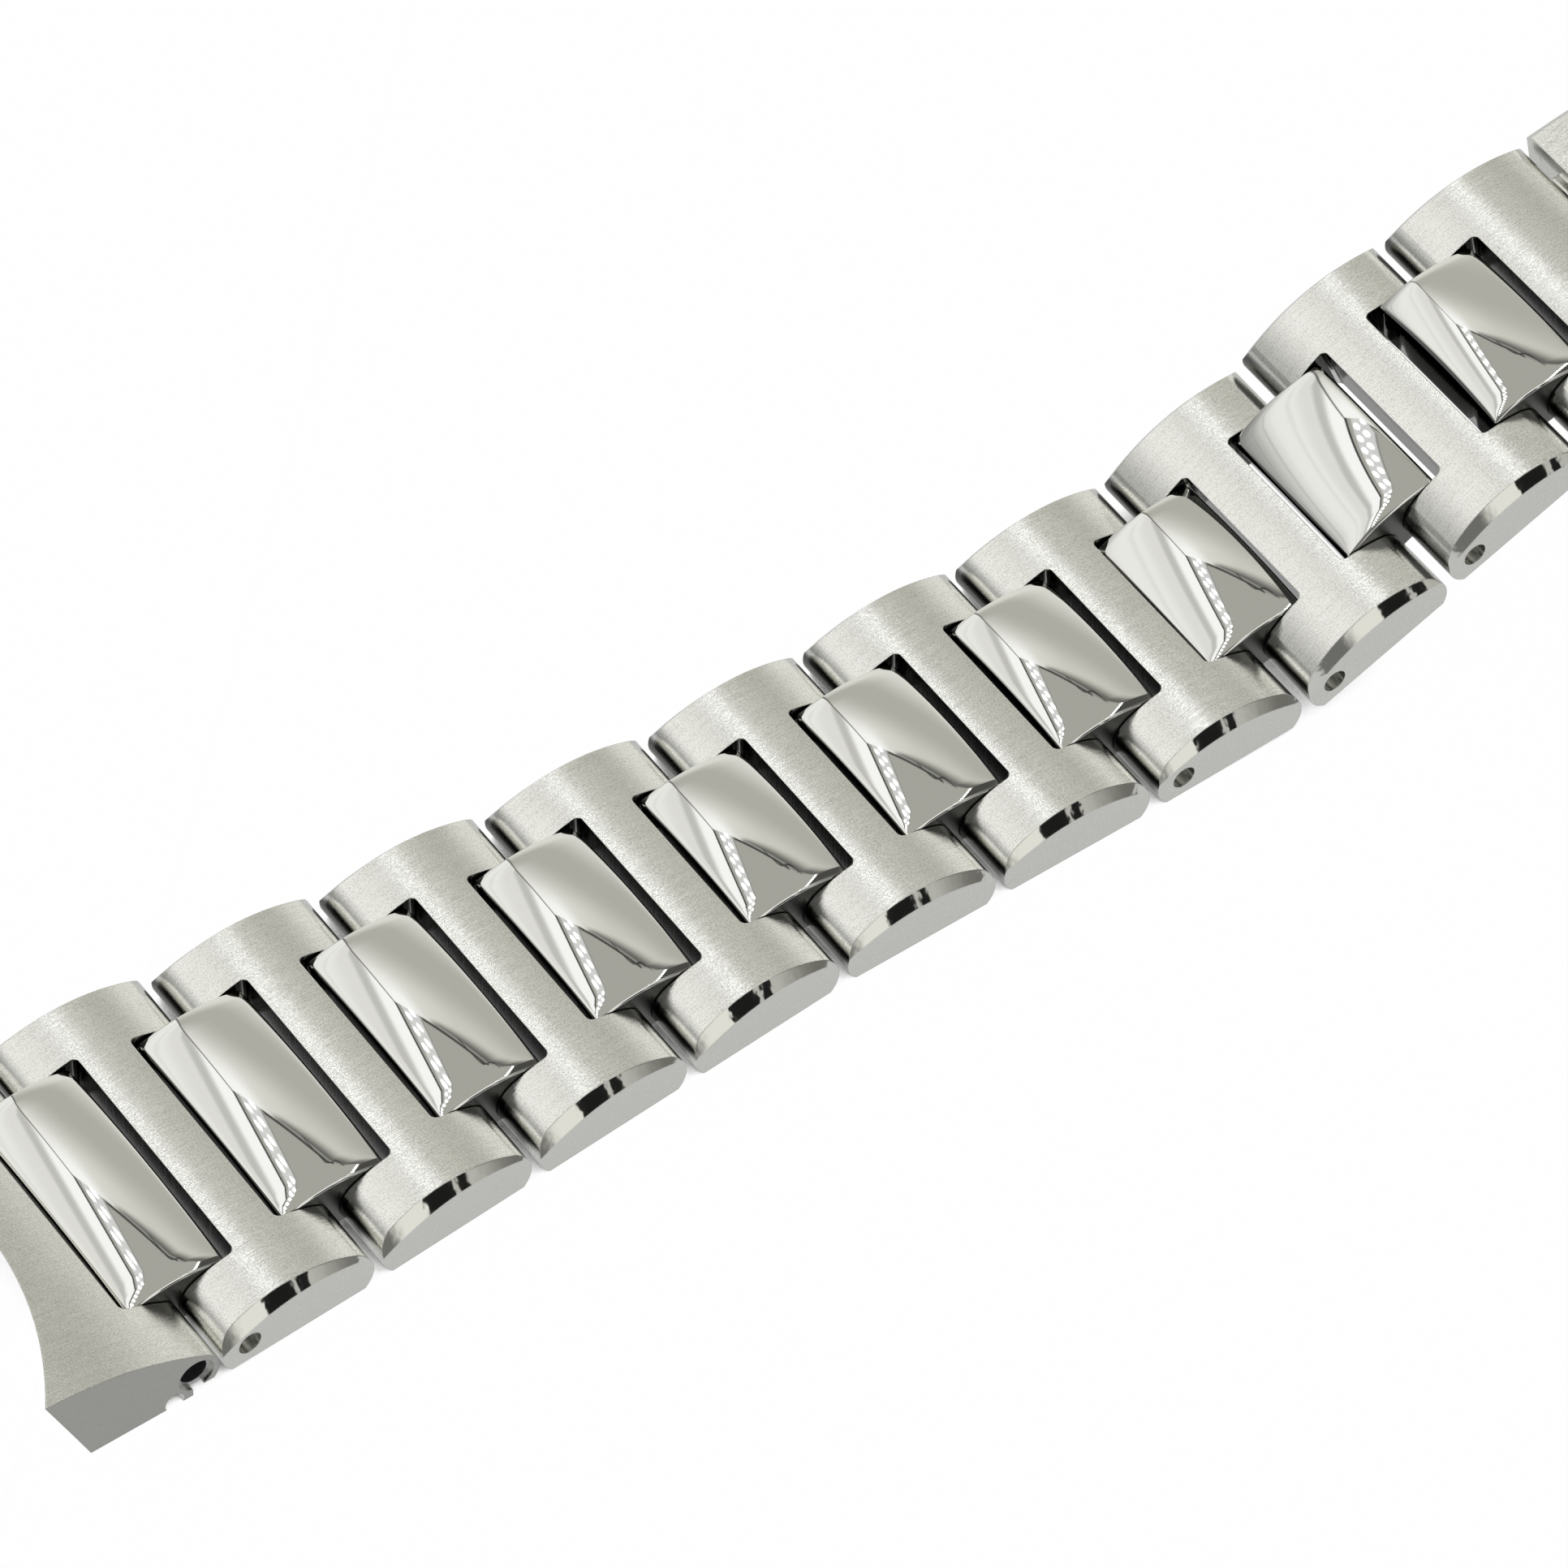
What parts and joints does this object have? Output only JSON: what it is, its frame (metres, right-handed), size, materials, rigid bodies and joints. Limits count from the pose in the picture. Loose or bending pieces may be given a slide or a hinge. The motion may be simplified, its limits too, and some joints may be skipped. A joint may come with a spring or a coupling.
{
  "type": "steel watch bracelet",
  "caption": "Tapering steel watch bracelet of H-shaped links with crowned centre pads, curved end links and a folding clasp with push buttons",
  "frame": {"origin": "middle of the lug bore of end link A, where the watch's spring bar goes", "axes": "+X along the bracelet from end link A to the clasp and end link B, +Y across it to the far side, +Z out of the bracelet's outer face"},
  "size_m": [0.1811, 0.02, 0.0121],
  "materials": {
    "brushed": "stainless steel, brushed lengthwise, with polished chamfers",
    "polished": "mirror-polished stainless steel",
    "plain": "plain drawn or stamped stainless steel"
  },
  "bodies": {
    "clasp": {"clasp_cover": "brushed", "clasp_cover_pins": "plain", "spring_near": "plain", "spring_far": "plain"},
    "button_near": {"button_near": "polished"},
    "button_far": {"button_far": "polished"},
    "blade_upper": {"blade_upper": "plain"},
    "blade_lower": {"blade_lower": "plain", "fold_pin": "plain"},
    "link_a_10": {"link_a_10": "brushed", "pins_a_10": "plain"},
    "pad_a_10": {"pad_a_10": "polished"},
    "link_a_09": {"link_a_09": "brushed", "pins_a_09": "plain"},
    "pad_a_09": {"pad_a_09": "polished"},
    "link_a_08": {"link_a_08": "brushed", "pins_a_08": "plain"},
    "pad_a_08": {"pad_a_08": "polished"},
    "link_a_07": {"link_a_07": "brushed", "pins_a_07": "plain"},
    "pad_a_07": {"pad_a_07": "polished"},
    "link_a_06": {"link_a_06": "brushed", "pins_a_06": "plain"},
    "pad_a_06": {"pad_a_06": "polished"},
    "link_a_05": {"link_a_05": "brushed", "pins_a_05": "plain"},
    "pad_a_05": {"pad_a_05": "polished"},
    "link_a_04": {"link_a_04": "brushed", "pins_a_04": "plain"},
    "pad_a_04": {"pad_a_04": "polished"},
    "link_a_03": {"link_a_03": "brushed", "pins_a_03": "plain"},
    "pad_a_03": {"pad_a_03": "polished"},
    "link_a_02": {"link_a_02": "brushed", "pins_a_02": "plain"},
    "pad_a_02": {"pad_a_02": "polished"},
    "link_a_01": {"link_a_01": "brushed", "pins_a_01": "plain"},
    "pad_a_01": {"pad_a_01": "polished"},
    "end_a": {"end_link_a": "brushed", "lug_tube_a": "plain"},
    "link_b_05": {"link_b_05": "brushed", "pins_b_05": "plain"},
    "pad_b_05": {"pad_b_05": "polished"},
    "link_b_04": {"link_b_04": "brushed", "pins_b_04": "plain"},
    "pad_b_04": {"pad_b_04": "polished"},
    "link_b_03": {"link_b_03": "brushed", "pins_b_03": "plain"},
    "pad_b_03": {"pad_b_03": "polished"},
    "link_b_02": {"link_b_02": "brushed", "pins_b_02": "plain"},
    "pad_b_02": {"pad_b_02": "polished"},
    "link_b_01": {"link_b_01": "brushed", "pins_b_01": "plain"},
    "pad_b_01": {"pad_b_01": "polished"},
    "end_b": {"end_link_b": "brushed", "lug_tube_b": "plain"}
  },
  "joints": [
    {"name": "clasp_bar", "type": "hinge", "parent": "clasp", "child": "link_a_10", "pos_m": [0.0903, 0, 0.00807], "axis": [0, -1, 0], "range_deg": [-5, 22]},
    {"name": "link_a_10_to_pad", "type": "hinge", "parent": "link_a_10", "child": "pad_a_10", "pos_m": [0.08027, 0, 0.00702], "axis": [0, 1, 0], "range_deg": [-20, 14]},
    {"name": "pad_a_10_to_link", "type": "hinge", "parent": "pad_a_10", "child": "link_a_09", "pos_m": [0.0769, 0, 0.00631], "axis": [0, -1, 0], "range_deg": [-21.5, 12.5]},
    {"name": "link_a_09_to_pad", "type": "hinge", "parent": "link_a_09", "child": "pad_a_09", "pos_m": [0.07197, 0, 0.00436], "axis": [0, 1, 0], "range_deg": [-14.5, 19.5]},
    {"name": "pad_a_09_to_link", "type": "hinge", "parent": "pad_a_09", "child": "link_a_08", "pos_m": [0.06895, 0, 0.00269], "axis": [0, -1, 0], "range_deg": [-4.5, 29.5]},
    {"name": "link_a_08_to_pad", "type": "hinge", "parent": "link_a_08", "child": "pad_a_08", "pos_m": [0.06402, 0, 0.00075], "axis": [0, 1, 0], "range_deg": [-31.75, 2.25]},
    {"name": "pad_a_08_to_link", "type": "hinge", "parent": "pad_a_08", "child": "link_a_07", "pos_m": [0.06064, 0, 0.00005], "axis": [0, -1, 0], "range_deg": [-2.25, 31.75]},
    {"name": "link_a_07_to_pad", "type": "hinge", "parent": "link_a_07", "child": "pad_a_07", "pos_m": [0.05535, 0, -0.00014], "axis": [0, 1, 0], "range_deg": [-23, 11]},
    {"name": "pad_a_07_to_link", "type": "hinge", "parent": "pad_a_07", "child": "link_a_06", "pos_m": [0.0519, 0, -0.0002], "axis": [0, -1, 0], "range_deg": [-11, 23]},
    {"name": "link_a_06_to_pad", "type": "hinge", "parent": "link_a_06", "child": "pad_a_06", "pos_m": [0.0466, 0, -0.0002], "axis": [0, 1, 0], "range_deg": [-22, 12]},
    {"name": "pad_a_06_to_link", "type": "hinge", "parent": "pad_a_06", "child": "link_a_05", "pos_m": [0.04315, 0, -0.0002], "axis": [0, -1, 0], "range_deg": [-12, 22]},
    {"name": "link_a_05_to_pad", "type": "hinge", "parent": "link_a_05", "child": "pad_a_05", "pos_m": [0.03785, 0, -0.0002], "axis": [0, 1, 0], "range_deg": [-22, 12]},
    {"name": "pad_a_05_to_link", "type": "hinge", "parent": "pad_a_05", "child": "link_a_04", "pos_m": [0.0344, 0, -0.0002], "axis": [0, -1, 0], "range_deg": [-12, 22]},
    {"name": "link_a_04_to_pad", "type": "hinge", "parent": "link_a_04", "child": "pad_a_04", "pos_m": [0.0291, 0, -0.0002], "axis": [0, 1, 0], "range_deg": [-22, 12]},
    {"name": "pad_a_04_to_link", "type": "hinge", "parent": "pad_a_04", "child": "link_a_03", "pos_m": [0.02565, 0, -0.0002], "axis": [0, -1, 0], "range_deg": [-12, 22]},
    {"name": "link_a_03_to_pad", "type": "hinge", "parent": "link_a_03", "child": "pad_a_03", "pos_m": [0.02035, 0, -0.0002], "axis": [0, 1, 0], "range_deg": [-22, 12]},
    {"name": "pad_a_03_to_link", "type": "hinge", "parent": "pad_a_03", "child": "link_a_02", "pos_m": [0.0169, 0, -0.0002], "axis": [0, -1, 0], "range_deg": [-12, 22]},
    {"name": "link_a_02_to_pad", "type": "hinge", "parent": "link_a_02", "child": "pad_a_02", "pos_m": [0.0116, 0, -0.0002], "axis": [0, 1, 0], "range_deg": [-22, 12]},
    {"name": "pad_a_02_to_link", "type": "hinge", "parent": "pad_a_02", "child": "link_a_01", "pos_m": [0.00815, 0, -0.0002], "axis": [0, -1, 0], "range_deg": [-9.84, 24.16]},
    {"name": "link_a_01_to_pad", "type": "hinge", "parent": "link_a_01", "child": "pad_a_01", "pos_m": [0.00285, 0, 0], "axis": [0, 1, 0], "range_deg": [-19.84, 14.16]},
    {"name": "pad_a_01_to_end", "type": "hinge", "parent": "pad_a_01", "child": "end_a", "pos_m": [0, 0, 0], "axis": [0, -1, 0], "range_deg": [-9, 22]},
    {"name": "cover_hinge", "type": "hinge", "parent": "clasp", "child": "blade_upper", "pos_m": [0.1205, 0, 0.00528], "axis": [0, -1, 0], "range_deg": [0, 150]},
    {"name": "blade_fold", "type": "hinge", "parent": "blade_upper", "child": "blade_lower", "pos_m": [0.09357, 0, 0.0067], "axis": [0, 1, 0], "range_deg": [0, 150]},
    {"name": "blade_to_link_b_05", "type": "hinge", "parent": "blade_lower", "child": "link_b_05", "pos_m": [0.12407, 0, 0.00598], "axis": [0, 1, 0], "range_deg": [-17.98, 14.03]},
    {"name": "link_b_05_to_pad", "type": "hinge", "parent": "link_b_05", "child": "pad_b_05", "pos_m": [0.12895, 0, 0.0039], "axis": [0, -1, 0], "range_deg": [-22, 12]},
    {"name": "pad_b_05_to_link", "type": "hinge", "parent": "pad_b_05", "child": "link_b_04", "pos_m": [0.13212, 0, 0.00255], "axis": [0, 1, 0], "range_deg": [-12, 22]},
    {"name": "link_b_04_to_pad", "type": "hinge", "parent": "link_b_04", "child": "pad_b_04", "pos_m": [0.137, 0, 0.00048], "axis": [0, -1, 0], "range_deg": [-33.77, 0.23]},
    {"name": "pad_b_04_to_link", "type": "hinge", "parent": "pad_b_04", "child": "link_b_03", "pos_m": [0.14038, 0, -0.0002], "axis": [0, 1, 0], "range_deg": [-0.7, 33.3]},
    {"name": "link_b_03_to_pad", "type": "hinge", "parent": "link_b_03", "child": "pad_b_03", "pos_m": [0.14568, 0, -0.0002], "axis": [0, -1, 0], "range_deg": [-22, 12]},
    {"name": "pad_b_03_to_link", "type": "hinge", "parent": "pad_b_03", "child": "link_b_02", "pos_m": [0.14913, 0, -0.0002], "axis": [0, 1, 0], "range_deg": [-12, 22]},
    {"name": "link_b_02_to_pad", "type": "hinge", "parent": "link_b_02", "child": "pad_b_02", "pos_m": [0.15443, 0, -0.0002], "axis": [0, -1, 0], "range_deg": [-22, 12]},
    {"name": "pad_b_02_to_link", "type": "hinge", "parent": "pad_b_02", "child": "link_b_01", "pos_m": [0.15788, 0, -0.0002], "axis": [0, 1, 0], "range_deg": [-9.84, 24.16]},
    {"name": "link_b_01_to_pad", "type": "hinge", "parent": "link_b_01", "child": "pad_b_01", "pos_m": [0.16318, 0, 0], "axis": [0, -1, 0], "range_deg": [-19.84, 14.16]},
    {"name": "pad_b_01_to_end", "type": "hinge", "parent": "pad_b_01", "child": "end_b", "pos_m": [0.16603, 0, 0], "axis": [0, 1, 0], "range_deg": [-9, 22]},
    {"name": "push_near", "type": "slide", "parent": "clasp", "child": "button_near", "axis": [0, 1, 0], "range_m": [0, 0.0008], "stiffness_N_per_m": 400, "springref_m": -0.001, "deforming": ["spring_near"]},
    {"name": "push_far", "type": "slide", "parent": "clasp", "child": "button_far", "axis": [0, -1, 0], "range_m": [0, 0.0008], "stiffness_N_per_m": 400, "springref_m": -0.001, "deforming": ["spring_far"]}
  ],
  "couplings": [
    {"joint": "blade_fold", "follows": "cover_hinge", "ratio": 1}
  ]
}
